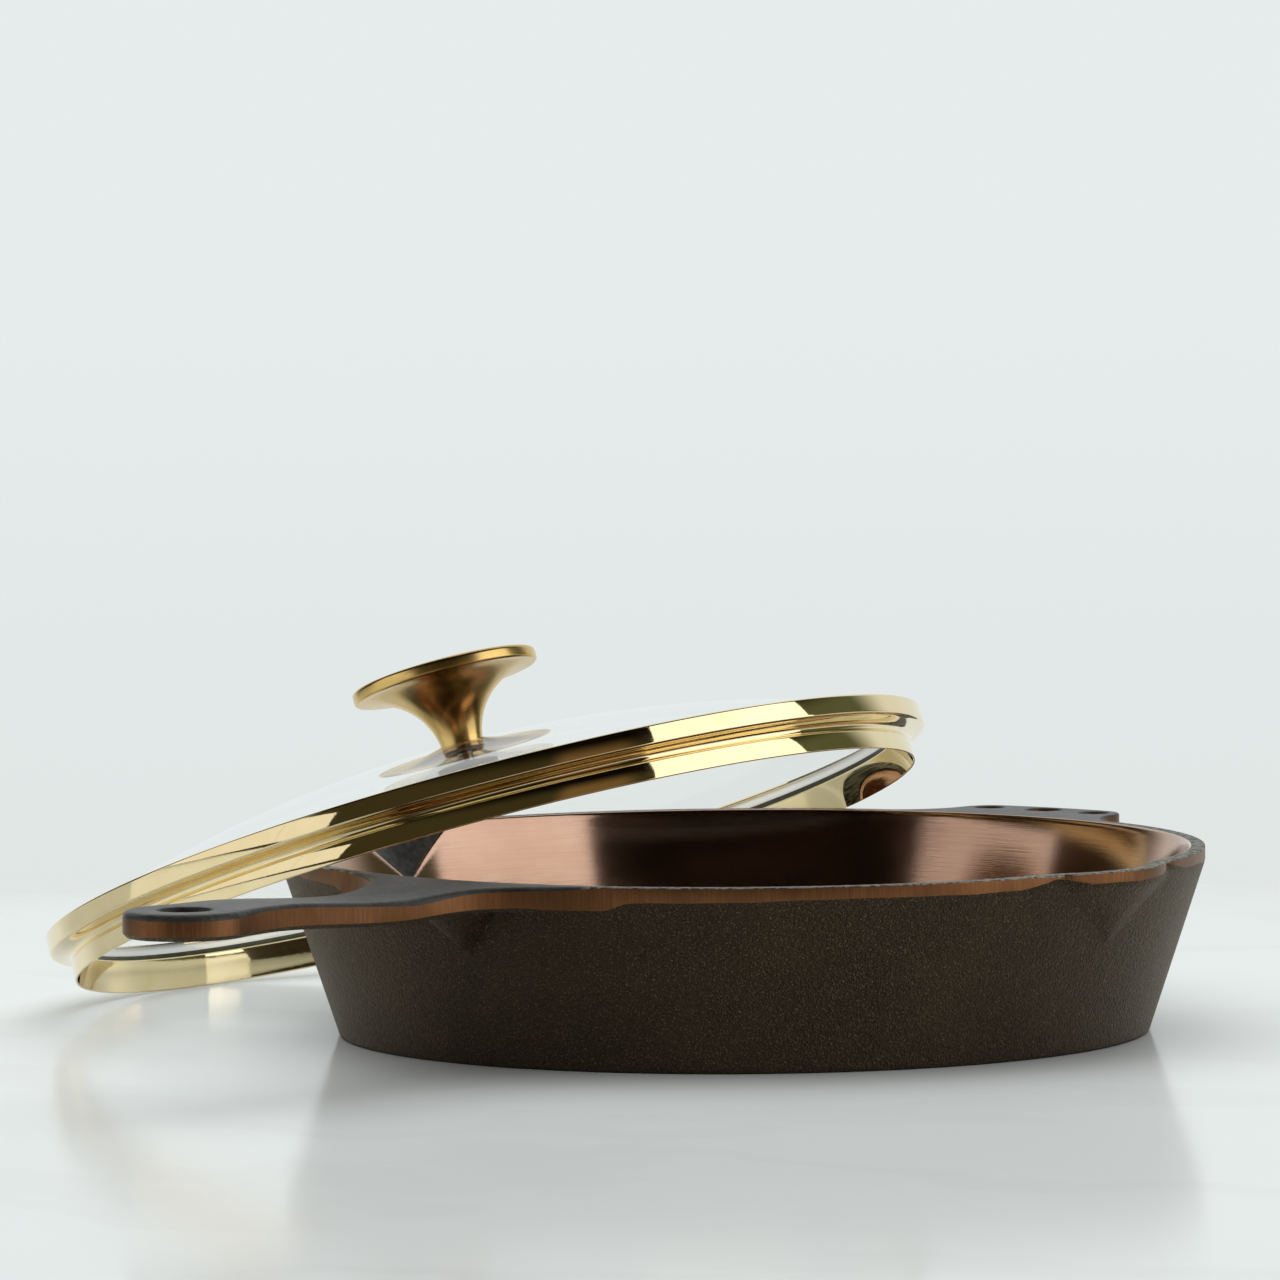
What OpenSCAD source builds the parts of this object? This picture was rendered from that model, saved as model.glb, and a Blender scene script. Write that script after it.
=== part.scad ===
// Cast-iron skillet with a glass lid that leans against its side.
// Millimetres. The origin is the centre of the pan's base, +X points along the
// long handle and +Z is up. The lid leans on the -Y side of the rim.

/* [Pan] */
// Outer radius of the pan at its rim
rim_r = 132; // [110:1:158]
// Outer radius of the flat base
base_r = 115.8; // [95:0.5:125]
// Height of the rim above the base
pan_h = 52.8; // [44:0.2:64]
// Thickness of the wall at the rim
rim_wall = 4.5; // [3.5:0.1:6]
// Thickness of the wall, measured level with the floor
foot_wall = 5.8; // [4.5:0.1:8]
// Thickness of the floor
floor_t = 4.8; // [3.5:0.1:7]
// Height of the machined band around the rim
band_h = 4; // [2:0.5:6]
// Radius of the corner between wall and floor inside
corner_r = 9; // [4:0.5:14]

/* [Pouring spouts] */
// How far each spout's lip stands out from the rim
spout_reach = 5.5; // [3:0.5:8]
// Radius of each spout's lip, seen from above
spout_r = 43.5; // [34:0.5:54]
// Height of the point where each spout runs out on the wall
spout_foot_z = 31.6; // [22:0.2:38]
// Wall of each spout at its lip
spout_wall = 4.5; // [3.5:0.1:6]

/* [Long handle] */
// Distance from the pan's centre to the middle of the hanging hole
hole_at = 247; // [210:1:300]
// Radius of the round end
handle_end_r = 16.8; // [13:0.2:20]
// Radius of the hanging hole
hang_hole_r = 7.25; // [5:0.25:9]
// Half of the width at the waist behind the round end
waist_half = 13; // [10:0.5:15]
// Half of the width where the flare to the rim starts
root_half = 14; // [11:0.5:17]
// Radius of the flare on each side of the root
flare_r = 45; // [30:1:55]
// Thickness at the root
root_t = 6.8; // [4:0.1:8]
// Thickness at the dip
dip_t = 6.6; // [4:0.1:7]
// Thickness at the round end
end_t = 7.2; // [5:0.1:9]
// Depth of the dip below the rim
dip = 1.4; // [0.5:0.1:4]
// Rise of the round end above the rim
end_rise = 1.4; // [0:0.1:4]
// Radius of the gusset under the root
gusset_r = 11; // [7:0.5:14]
// Height of the gusset's point on the wall
gusset_foot_z = 32; // [24:0.5:38]

/* [Helper handle] */
// How far the helper handle stands out from the rim
tab_reach = 25; // [20:0.5:32]
// Half of its width
tab_half = 27.5; // [22:0.5:34]
// Thickness of the helper handle
tab_t = 5.6; // [4:0.1:8]
// Radius of its outer corners
tab_corner_r = 10; // [6:0.5:12]
// Radius of the flare on each side of it
tab_flare_r = 22; // [14:1:28]
// Distance of its holes from the rim
tab_hole_out = 17; // [14:0.5:20]
// Spacing of its holes
tab_hole_pitch = 19; // [15:0.5:22]
// Radius of the middle hole
mid_hole_r = 5.25; // [3:0.25:6]
// Radius of the two outer holes
side_hole_r = 4.25; // [3:0.25:5]

/* [Lid ring] */
// Gap all round between the lid's skirt and the pan's mouth
mouth_gap = 0.8; // [0.4:0.1:2]
// Thickness of the sheet that the ring is rolled from
sheet = 0.7; // [0.5:0.1:1]
// Height of the skirt that drops into the pan
skirt_h = 5.4; // [4:0.2:8]
// Height of the groove between skirt and band
groove_h = 3.3; // [2.5:0.1:5]
// Depth of that groove
groove_in = 1.3; // [0.8:0.1:2]
// How far the ring's top lip reaches over the glass
lip_in = 4.6; // [3:0.2:7]

/* [Lid glass] */
// Rise of the glass from the lip's edge to its top
dome_rise = 22.6; // [16:0.2:30]
// Thickness of the glass
glass_t = 3.6; // [3:0.1:4]
// Gap between the glass's edge and the band
glass_gap = 2.4; // [1.5:0.1:3]
// Thickness of the seal under the lower corner of the glass's edge
seal_under = 0.2; // [0.1:0.05:0.6]
// Radius of the hole for the knob's screw
screw_hole_r = 3.6; // [3.2:0.1:4.5]

/* [Knob] */
// Radius of the knob's disc
knob_r = 27.6; // [20:0.2:32]
// Radius of the knob's neck
neck_r = 6.2; // [5:0.1:8]
// Height of the neck and flare below the disc
flare_h = 20.6; // [14:0.2:28]
// Thickness of the disc
disc_t = 3.8; // [3:0.1:6]
// Radius of the rounded edge of the disc
disc_round = 1; // [0.5:0.1:1.4]
// Thickness of the clear washer between knob and glass
top_washer_t = 0.6; // [0.4:0.1:1.5]
// Thickness of the rubber washer under the glass
low_washer_t = 1.6; // [1:0.1:3]
// Radius of the rubber washer under the glass
low_washer_r = 9; // [7:0.5:12]
// Thickness of the metal washer
metal_washer_t = 1.2; // [0.8:0.1:2]
// Radius of the metal washer
metal_washer_r = 8; // [6:0.5:10]
// Radius of the screw's shank
screw_r = 2.5; // [2:0.1:3]
// Radius of the screw's head
screw_head_r = 4.6; // [4:0.1:5.5]
// Height of the screw's head
screw_head_h = 2.6; // [2:0.1:3.5]

/* [Leaning lid] */
// Clearance between the lid's glass and the spout under it
dome_gap = 4.4; // [1:0.1:8]
// Turn of the lean about the upright, from straight along -Y
lean_turn = -1.2; // [-5:0.1:5]
// Clearance between the resting lid and the pan's rim
lean_gap = 0.3; // [0.2:0.05:1]

/* [Hidden] */
$fn = 96;

// A small extra length that takes a cut clear of the face it opens.
past = 1;
// The broken edge around the foot of the pan.
foot_break = 0.8;
// How far the handles' flares sink into the rim, so that no edge is a feather.
root_sink = 0.8;

// Inside of the pan.
mouth_r = rim_r - rim_wall;
foot_in_r = base_r - foot_wall;
// Slope of the inner wall: change of radius with height.
in_slope = (mouth_r - foot_in_r) / pan_h;

// Lid ring, measured from the lower edge of its skirt.
skirt_r = mouth_r - mouth_gap;
groove_r = skirt_r - groove_in;
seat_z = skirt_h + groove_h;
lip_r = rim_r - lip_in;

// Glass, a shell between two spheres. The band is as high as its edge needs.
glass_out_r = (pow(lip_r, 2) + pow(dome_rise, 2)) / (2 * dome_rise);
glass_in_r = glass_out_r - glass_t;
glass_edge_r = rim_r - sheet - glass_gap;
edge_drop = glass_out_r - dome_rise - sqrt(pow(glass_in_r, 2) - pow(glass_edge_r, 2));
ring_h = seat_z + 2 * sheet + seal_under + edge_drop;
glass_top_z = ring_h - sheet + dome_rise;
glass_mid_z = glass_top_z - glass_out_r;
glass_under_z = glass_top_z - glass_t;

// Knob stack.
knob_z = glass_top_z + top_washer_t;
disc_z = knob_z + flare_h;
knob_top_z = disc_z + disc_t;
low_washer_z = glass_mid_z + sqrt(pow(glass_in_r, 2) - pow(low_washer_r, 2)) - low_washer_t;
metal_z = low_washer_z - metal_washer_t;
// Depth of the threaded hole, as a share of the knob's height.
thread_deep = 0.6 * (flare_h + disc_t);
// Clearance of the screw in that hole.
screw_gap = 0.05;
// The seal's inner edge, set back from the groove's wall.
seal_set_in = 0.3;

// The lid's skirt rests on the rim past the lid's centre, by a share of its radius.
// A smaller share is a steeper lean, until the glass comes down on the spout.
function lean_angle(share) = asin((pan_h + lean_gap) / (skirt_r * (1 + share)));
function lean_reach(share) =
  share * skirt_r * cos(lean_angle(share))
  + sqrt(pow(rim_r + lean_gap, 2) - pow(skirt_r, 2) + pow(share * skirt_r, 2));
function glass_clear(share) =
  let (
    tilt = lean_angle(share),
    y = lean_reach(share) - rim_r - spout_reach,
    z = pan_h - skirt_r * sin(tilt)
  )
  glass_in_r - norm([y * cos(tilt) + z * sin(tilt), z * cos(tilt) - y * sin(tilt) - glass_mid_z]);
// The share at which that clearance is dome_gap, found by halving.
function lean_share(low, high, left) =
  let (middle = (low + high) / 2)
  left == 0 ? middle
  : glass_clear(middle) < dome_gap ? lean_share(middle, high, left - 1)
  : lean_share(low, middle, left - 1);
steepest_share = 0.1;
flattest_share = 0.6;
halvings = 24;
lean_tilt = lean_angle(lean_share(steepest_share, flattest_share, halvings));

// How far out the lid's centre must sit for a circle of radius r, at height h
// above the skirt's lower edge, to clear the rim where the two cross.
function lean_rise(h) = (pan_h + lean_gap - skirt_r * sin(lean_tilt) - h * cos(lean_tilt)) / sin(lean_tilt);
function lean_half(r, h) = sqrt(pow(r, 2) - pow(lean_rise(h), 2));
function lean_out(r, h) =
  lean_rise(h) * cos(lean_tilt) - h * sin(lean_tilt)
  + sqrt(pow(rim_r + lean_gap, 2) - pow(lean_half(r, h), 2));
lean_y = max(lean_out(skirt_r - 0.2, 0), lean_out(skirt_r - sheet, sheet - 0.2));
lean_z = skirt_r * sin(lean_tilt);

// Points along an arc, from one angle to another.
function arc(cx, cy, r, from, to, steps) =
  [for (i = [0:steps]) let (a = from + (to - from) * i / steps) [cx + r * cos(a), cy + r * sin(a)]];
// A value that eases from one to another as t goes from 0 to 1.
function ease(from, to, t) = from + (to - from) * t * t * (3 - 2 * t);
// The same points mirrored across the X axis, in reverse, without those on it.
function mirrored(points) =
  [for (i = [len(points) - 1:-1:0]) if (points[i][1] > 0.01) [points[i][0], -points[i][1]]];

// ---- Pan ----

// The pan before it is hollowed. A cut with it runs above the rim by over.
module pan_solid(over = 0) {
  rotate_extrude()
    polygon([
      [0, 0], [base_r - foot_break, 0], [base_r, foot_break],
      [rim_r, pan_h - band_h], [rim_r, pan_h + over], [0, pan_h + over]
    ]);
}

module pan_hollow() {
  lean = atan(in_slope);
  corner_x = foot_in_r + in_slope * (floor_t + corner_r) - corner_r / cos(lean);
  rotate_extrude()
    polygon(concat(
      [[0, pan_h + past], [0, floor_t]],
      arc(corner_x, floor_t + corner_r, corner_r, -90, -lean, 8),
      [[mouth_r + in_slope * past, pan_h + past]]
    ));
}

// A spout's outer or inner shape: a lip of radius r that narrows to a point on
// the wall, shrunk by inset to make the inner shape.
module spout(inset, top) {
  lip_x = rim_r + spout_reach - spout_r;
  foot_x = base_r + (rim_r - base_r) * spout_foot_z / (pan_h - band_h);
  hull() {
    translate([lip_x, 0, pan_h - band_h])
      cylinder(r = spout_r - inset, h = top + band_h, $fn = 48);
    translate([foot_x - 2 * inset, 0, spout_foot_z + inset])
      sphere(r = 0.5, $fn = 16);
  }
}

module pan_body() {
  color("dimgray")
    difference() {
      union() {
        pan_solid();
        for (side = [90, -90]) rotate([0, 0, side]) spout(0, 0);
      }
      pan_hollow();
      for (side = [90, -90]) rotate([0, 0, side]) spout(spout_wall, past);
    }
}

// ---- Long handle ----

module main_handle_outline() {
  flare_y = root_half + flare_r;
  flare_x = sqrt(pow(rim_r - root_sink + flare_r, 2) - pow(flare_y, 2));
  flare_end = atan2(-flare_y, -flare_x);
  side = concat(
    arc(flare_x, flare_y, flare_r, flare_end, -90, 12),
    [[hole_at - 3 * handle_end_r, waist_half], [hole_at - 1.8 * handle_end_r, waist_half]],
    arc(hole_at, 0, handle_end_r, 125, 0, 16)
  );
  polygon(concat([[mouth_r, 0]], side, mirrored(side)));
}

// The handle seen from the side.
module main_handle_profile() {
  level_x = rim_r + 10;
  dip_x = rim_r + 38;
  flat_x = hole_at - 1.2 * handle_end_r;
  end_x = hole_at + handle_end_r + past;
  top = concat(
    [[mouth_r - past, pan_h]],
    [for (i = [0:8]) [ease(level_x, dip_x, i / 8), pan_h - ease(0, dip, i / 8)]],
    [for (i = [1:8]) [dip_x + (flat_x - dip_x) * i / 8, pan_h + ease(-dip, end_rise, i / 8)]],
    [[end_x, pan_h + end_rise]]
  );
  under = concat(
    [[end_x, pan_h + end_rise - end_t]],
    [for (i = [0:8]) [flat_x + (dip_x - flat_x) * i / 8, pan_h + ease(end_rise - end_t, -dip - dip_t, i / 8)]],
    [for (i = [1:8]) [dip_x + (level_x - dip_x) * i / 8, pan_h + ease(-dip - dip_t, -root_t, i / 8)]],
    [[mouth_r - past, pan_h - root_t]]
  );
  polygon(concat(top, under));
}

// The cone under the root, its point on the wall.
module gusset() {
  foot_x = base_r + (rim_r - base_r) * gusset_foot_z / (pan_h - band_h);
  rise = pan_h - root_t - gusset_foot_z;
  top_x = rim_r - 0.5;
  slant = atan2(top_x - foot_x, rise);
  intersection() {
    translate([foot_x, 0, gusset_foot_z])
      rotate([0, slant, 0])
        cylinder(r1 = 0, r2 = 1.4 * gusset_r, h = 1.4 * rise / cos(slant));
    translate([0, -rim_r, 0])
      cube([2 * rim_r, 2 * rim_r, pan_h - root_t / 2]);
  }
}

module main_handle() {
  handle_w = 2 * (rim_r + flare_r);
  color("dimgray")
    difference() {
      union() {
        intersection() {
          linear_extrude(height = pan_h + end_rise + past)
            main_handle_outline();
          translate([0, handle_w / 2, 0])
            rotate([90, 0, 0])
              linear_extrude(height = handle_w)
                main_handle_profile();
        }
        gusset();
      }
      pan_solid(past);
      translate([hole_at, 0, 0])
        cylinder(r = hang_hole_r, h = pan_h + end_rise + past);
    }
}

// ---- Helper handle ----

module helper_outline() {
  tab_r = rim_r + tab_reach;
  corner_y = tab_half - tab_corner_r;
  corner_x = sqrt(pow(tab_r - tab_corner_r, 2) - pow(corner_y, 2));
  corner_a = atan2(corner_y, corner_x);
  flare_y = tab_half + tab_flare_r;
  flare_x = sqrt(pow(rim_r - root_sink + tab_flare_r, 2) - pow(flare_y, 2));
  flare_end = atan2(-flare_y, -flare_x);
  side = concat(
    arc(flare_x, flare_y, tab_flare_r, flare_end, -90, 8),
    arc(corner_x, corner_y, tab_corner_r, 90, corner_a, 8),
    arc(0, 0, tab_r, corner_a * 0.75, 0, 4)
  );
  polygon(concat([[mouth_r, 0]], side, mirrored(side)));
}

module helper_handle() {
  hole_ring = rim_r + tab_hole_out;
  step = 2 * asin(tab_hole_pitch / 2 / hole_ring);
  color("dimgray")
    rotate([0, 0, 180])
      difference() {
        translate([0, 0, pan_h - tab_t])
          linear_extrude(height = tab_t)
            helper_outline();
        pan_solid(past);
        for (i = [-1:1])
          rotate([0, 0, i * step])
            translate([hole_ring, 0, pan_h - tab_t - past])
              cylinder(r = i == 0 ? mid_hole_r : side_hole_r, h = tab_t + 2 * past);
      }
}

// ---- Lid, drawn level with the lower edge of its skirt at z = 0 ----

module leaning() {
  rotate([0, 0, lean_turn])
    translate([0, -lean_y, lean_z])
      rotate([lean_tilt, 0, 0])
        children();
}

module lid_rim() {
  edge = sheet - 0.2;
  bend = 0.6;
  color("goldenrod")
    leaning()
      rotate_extrude()
        polygon([
          [lip_r, ring_h], [rim_r - bend, ring_h], [rim_r, ring_h - bend],
          [rim_r, seat_z + bend], [rim_r - bend, seat_z], [groove_r, seat_z],
          [groove_r, skirt_h + bend], [skirt_r, skirt_h - bend / 2],
          [skirt_r, 0], [skirt_r - 0.2, 0], [skirt_r - sheet, edge],
          [skirt_r - sheet, skirt_h - 1.2 * bend], [groove_r - sheet, skirt_h],
          [groove_r - sheet, seat_z + sheet], [rim_r - sheet, seat_z + sheet],
          [rim_r - sheet, ring_h - sheet], [lip_r, ring_h - sheet]
        ]);
}

module glass_shell() {
  translate([0, 0, glass_mid_z])
    difference() {
      sphere(r = glass_out_r, $fn = 256);
      sphere(r = glass_in_r, $fn = 256);
    }
}

module glass_body() {
  intersection() {
    glass_shell();
    cylinder(r = glass_edge_r, h = glass_top_z + past, $fn = 256);
  }
}

module lid_glass() {
  color("lightcyan", 0.35)
    leaning()
      difference() {
        glass_body();
        translate([0, 0, glass_under_z - past])
          cylinder(r = screw_hole_r, h = glass_t + 2 * past);
      }
}

// The seal lines the channel of the ring, round the edge of the glass.
module glass_seal() {
  channel_h = ring_h - seat_z - 2 * sheet;
  color("darkkhaki")
    leaning()
      difference() {
        translate([0, 0, seat_z + sheet])
          cylinder(r = rim_r - sheet, h = channel_h, $fn = 256);
        translate([0, 0, seat_z])
          cylinder(r = groove_r + seal_set_in, h = ring_h, $fn = 256);
        glass_body();
        difference() {
          cylinder(r = lip_r, h = ring_h, $fn = 256);
          translate([0, 0, glass_mid_z])
            sphere(r = glass_in_r, $fn = 256);
        }
      }
}

module knob() {
  profile = concat(
    [[0, knob_z]],
    [for (i = [0:14]) let (t = 90 * i / 14)
      [knob_r - disc_round / 2 - (knob_r - disc_round / 2 - neck_r) * cos(t), knob_z + flare_h * sin(t)]],
    arc(knob_r - disc_round, disc_z + disc_round, disc_round, -60, 0, 4),
    arc(knob_r - disc_round, knob_top_z - disc_round, disc_round, 0, 90, 6),
    [[0, knob_top_z]]
  );
  color("goldenrod")
    leaning()
      difference() {
        rotate_extrude() polygon(profile);
        translate([0, 0, knob_z - past])
          cylinder(r = screw_r + screw_gap, h = thread_deep + past);
      }
}

module knob_screw() {
  slot_w = 1.1;
  color("silver")
    leaning()
      difference() {
        union() {
          translate([0, 0, metal_z - screw_head_h])
            cylinder(r = screw_head_r, h = screw_head_h);
          translate([0, 0, metal_z - past])
            cylinder(r = screw_r, h = knob_z + thread_deep - metal_z);
        }
        for (turn = [0, 90])
          translate([0, 0, metal_z - screw_head_h])
            rotate([0, 0, turn])
              cube([screw_head_r, slot_w, screw_head_h], center = true);
      }
}

module top_washer() {
  color("whitesmoke")
    leaning()
      difference() {
        translate([0, 0, glass_top_z])
          cylinder(r = neck_r - 0.4, h = top_washer_t);
        translate([0, 0, glass_top_z - past])
          cylinder(r = screw_hole_r, h = top_washer_t + 2 * past);
      }
}

module low_washer() {
  color("dimgray")
    leaning()
      translate([0, 0, low_washer_z])
        difference() {
          cylinder(r = low_washer_r, h = low_washer_t);
          translate([0, 0, -past])
            cylinder(r = screw_hole_r, h = low_washer_t + 2 * past);
        }
}

module metal_washer() {
  color("goldenrod")
    leaning()
      translate([0, 0, metal_z])
        difference() {
          cylinder(r = metal_washer_r, h = metal_washer_t);
          translate([0, 0, -past])
            cylinder(r = screw_r + 0.3, h = metal_washer_t + 2 * past);
        }
}

pan_body();
main_handle();
helper_handle();
lid_rim();
lid_glass();
glass_seal();
knob();
knob_screw();
top_washer();
low_washer();
metal_washer();
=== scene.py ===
# %% [markdown]
# # A cast-iron skillet and its leaning glass lid
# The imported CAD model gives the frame: where every piece is and how it moves. This lesson
# builds the looks around it. Lengths are in metres, so millimetres are written as 12 * MM.

# %% Load the frame
import math

import bmesh
import bpy
import numpy as np
from mathutils import Matrix, Vector
from mathutils.geometry import delaunay_2d_cdt


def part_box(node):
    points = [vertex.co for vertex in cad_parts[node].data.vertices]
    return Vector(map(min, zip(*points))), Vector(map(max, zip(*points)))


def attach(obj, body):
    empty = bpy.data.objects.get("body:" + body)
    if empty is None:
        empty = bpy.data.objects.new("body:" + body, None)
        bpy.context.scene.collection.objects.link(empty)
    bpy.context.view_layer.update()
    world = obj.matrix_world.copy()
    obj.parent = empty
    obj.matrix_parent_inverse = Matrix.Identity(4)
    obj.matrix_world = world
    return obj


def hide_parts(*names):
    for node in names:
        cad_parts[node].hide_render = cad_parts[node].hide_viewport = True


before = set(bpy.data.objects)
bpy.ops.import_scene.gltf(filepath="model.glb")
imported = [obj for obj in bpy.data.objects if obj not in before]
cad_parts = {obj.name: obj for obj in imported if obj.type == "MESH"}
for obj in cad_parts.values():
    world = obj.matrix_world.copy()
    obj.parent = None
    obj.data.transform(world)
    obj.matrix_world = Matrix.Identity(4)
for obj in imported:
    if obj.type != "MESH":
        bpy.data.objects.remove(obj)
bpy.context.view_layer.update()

MM = 0.001

# %% [markdown]
# ## Measuring the frame
# A size that the CAD model holds is read from it. The pan stands on z = 0 with its centre at
# the origin, and its long handle points along +X. The lid's axis runs through the centres of
# two of its washers, so its tilt needs no angle of its own.

# %% Sizes from the frame
pan_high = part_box("pan_body")[1]
RIM_R = pan_high.x
PAN_H = pan_high.z
SPOUT_REACH = pan_high.y - RIM_R
HANDLE_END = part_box("main_handle")[1].x
TAB_END = -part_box("helper_handle")[0].x
RING_R = (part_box("lid_rim")[1].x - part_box("lid_rim")[0].x) / 2


def node_centre(node):
    low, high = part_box(node)
    return (low + high) / 2


LID_UP = (node_centre("top_washer") - node_centre("metal_washer")).normalized()
# Height of the clear washer's middle above the lower edge of the lid's skirt.
TOP_WASHER_Z = 36.9 * MM
LID_FOOT = node_centre("top_washer") - LID_UP * TOP_WASHER_Z
lid_x = Vector((0, 0, 1)).cross(LID_UP).normalized()
lid_y = LID_UP.cross(lid_x)
LID_PLACE = Matrix.Translation(LID_FOOT) @ Matrix((lid_x, lid_y, LID_UP)).transposed().to_4x4()
print("rim", round(RIM_R / MM, 1), "height", round(PAN_H / MM, 1), "mm")
print("lid up", [round(v, 4) for v in LID_UP])

# %% [markdown]
# ## The camera
# A long lens from nearly three metres away, four degrees above the table, flattens the
# ellipses of rim and lid. It comes early so that every try is seen from the same place.

# %% Camera
CAMERA_PLACE = Vector((2236.2, 1685.1, 296.6)) * MM
CAMERA_AIM = Vector((-0.790650, -0.608740, -0.065720))
CAMERA_ROLL = -0.0081959
CAMERA_LENS = 276.25
SENSOR_WIDTH = 36
CLIP_END = 60


def aim_matrix(place, direction, roll=0.0):
    turn = direction.to_track_quat("-Z", "Y").to_matrix().to_4x4()
    return Matrix.Translation(place) @ turn @ Matrix.Rotation(roll, 4, "Z")


camera = bpy.data.objects.new("camera", bpy.data.cameras.new("camera"))
bpy.context.scene.collection.objects.link(camera)
camera.data.lens = CAMERA_LENS
camera.data.sensor_width = SENSOR_WIDTH
camera.data.clip_end = CLIP_END
camera.matrix_world = aim_matrix(CAMERA_PLACE, CAMERA_AIM, CAMERA_ROLL)
bpy.context.scene.camera = camera
print("camera at", tuple(round(v, 3) for v in CAMERA_PLACE))

# %% [markdown]
# ## Writing shaders as sums
# A finish is easier to read as arithmetic than as a list of nodes and links. `Wire` wraps a
# socket, and each sign between two wires adds one Math node. `Finish` owns a material; its
# one method `node` adds any other node: its type, its settings, and what its sockets hold.

# %% Shader helpers


class Wire:
    """An output socket that can be used in sums."""

    def __init__(self, finish, socket):
        self.finish = finish
        self.socket = socket

    def join(self, operation, first, second):
        return self.finish.node("ShaderNodeMath", {"operation": operation}, {0: first, 1: second})

    def __add__(self, other):
        return self.join("ADD", self, other)

    __radd__ = __add__

    def __mul__(self, other):
        return self.join("MULTIPLY", self, other)

    __rmul__ = __mul__

    def __sub__(self, other):
        return self.join("SUBTRACT", self, other)

    def __rsub__(self, other):
        return self.join("SUBTRACT", other, self)

    def __truediv__(self, other):
        return self.join("DIVIDE", self, other)

    def __rtruediv__(self, other):
        return self.join("DIVIDE", other, self)

    def __pow__(self, other):
        return self.join("POWER", self, other)

    def step(self, low, high):
        """0 below low, 1 above high, and a smooth ramp between them."""
        return self.finish.node(
            "ShaderNodeMapRange",
            {"interpolation_type": "SMOOTHSTEP"},
            {"Value": self, "From Min": low, "From Max": high},
        )


class Finish:
    """A material and the nodes that make it."""

    def __init__(self, name):
        self.material = bpy.data.materials.new(name)
        self.material.use_nodes = True
        self.tree = self.material.node_tree
        self.tree.nodes.clear()

    def node(self, kind, settings=None, sockets=None, out=0):
        made = self.tree.nodes.new(kind)
        for key, value in (settings or {}).items():
            setattr(made, key, value)
        for key, value in (sockets or {}).items():
            if isinstance(value, Wire):
                self.tree.links.new(value.socket, made.inputs[key])
            else:
                made.inputs[key].default_value = value
        return Wire(self, made.outputs[out]) if made.outputs else None

    def place(self):
        """The point on the surface at rest, in metres."""
        return self.node("ShaderNodeTexCoord", out="Object")

    def split(self, vector):
        made = self.node("ShaderNodeSeparateXYZ", sockets={0: vector}).socket.node
        return [Wire(self, made.outputs[i]) for i in range(3)]

    def vector(self, x, y, z):
        return self.node("ShaderNodeCombineXYZ", sockets={0: x, 1: y, 2: z})

    def along(self, vector, axis):
        """How far a vector goes in the direction of a fixed axis."""
        holds = {0: vector, 1: tuple(axis)}
        return self.node("ShaderNodeVectorMath", {"operation": "DOT_PRODUCT"}, holds, out="Value")

    def size(self, value):
        """A number without its sign."""
        return self.node("ShaderNodeMath", {"operation": "ABSOLUTE"}, {0: value})

    def noise(self, vector, scale, detail=2.0, rough=0.5):
        """Soft random values; scale is the number of bumps in a metre."""
        holds = {"Vector": vector, "Scale": scale, "Detail": detail, "Roughness": rough}
        return self.node("ShaderNodeTexNoise", sockets=holds)

    def cells(self, vector, scale):
        """Distance to the nearest of many scattered points: round grains."""
        return self.node("ShaderNodeTexVoronoi", sockets={"Vector": vector, "Scale": scale})

    def mix(self, amount, first, second):
        """A colour between two, as amount goes from 0 to 1."""
        def colour(value):
            return value if isinstance(value, Wire) else (*value, 1)
        holds = {"Factor": amount, 6: colour(first), 7: colour(second)}
        return self.node("ShaderNodeMix", {"data_type": "RGBA"}, holds, out=2)

    def bump(self, height, strength, distance):
        holds = {"Height": height, "Strength": strength, "Distance": distance}
        return self.node("ShaderNodeBump", sockets=holds)

    def principled(self, **holds):
        """The usual surface: base_color=... fills the socket Base Color, and so on."""
        sockets = {}
        for key, value in holds.items():
            name = key.replace("_", " ").title().replace("Ior", "IOR")
            sockets[name] = (*value, 1) if isinstance(value, tuple) else value
        return self.node("ShaderNodeBsdfPrincipled", sockets=sockets)

    def blend(self, amount, first, second):
        """A surface between two, as amount goes from 0 to 1."""
        return self.node("ShaderNodeMixShader", sockets={"Fac": amount, 1: first, 2: second})

    def finish(self, surface):
        self.node("ShaderNodeOutputMaterial", sockets={"Surface": surface})
        return self.material


print("shader helpers ready")

# %% [markdown]
# ## Building meshes as skins
# The casting has no boxes or cylinders in it: it is one skin that runs from the rim over its
# edges, down the walls and out along both handles. `Skin` collects points and faces. Loops
# are bridged with quads, and flat regions with holes are filled by triangles whose height
# comes from a formula.

# %% Mesh helpers


# Points nearer than this are joined, and edges shorter than this are removed, in metres.
WELD_GAP = 2e-6
SHORT_EDGE = 1e-7
# Filling points keep this share of their spacing clear of a border.
BORDER_CLEAR = 0.45
FILL_EXACT = 1e-9


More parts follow.
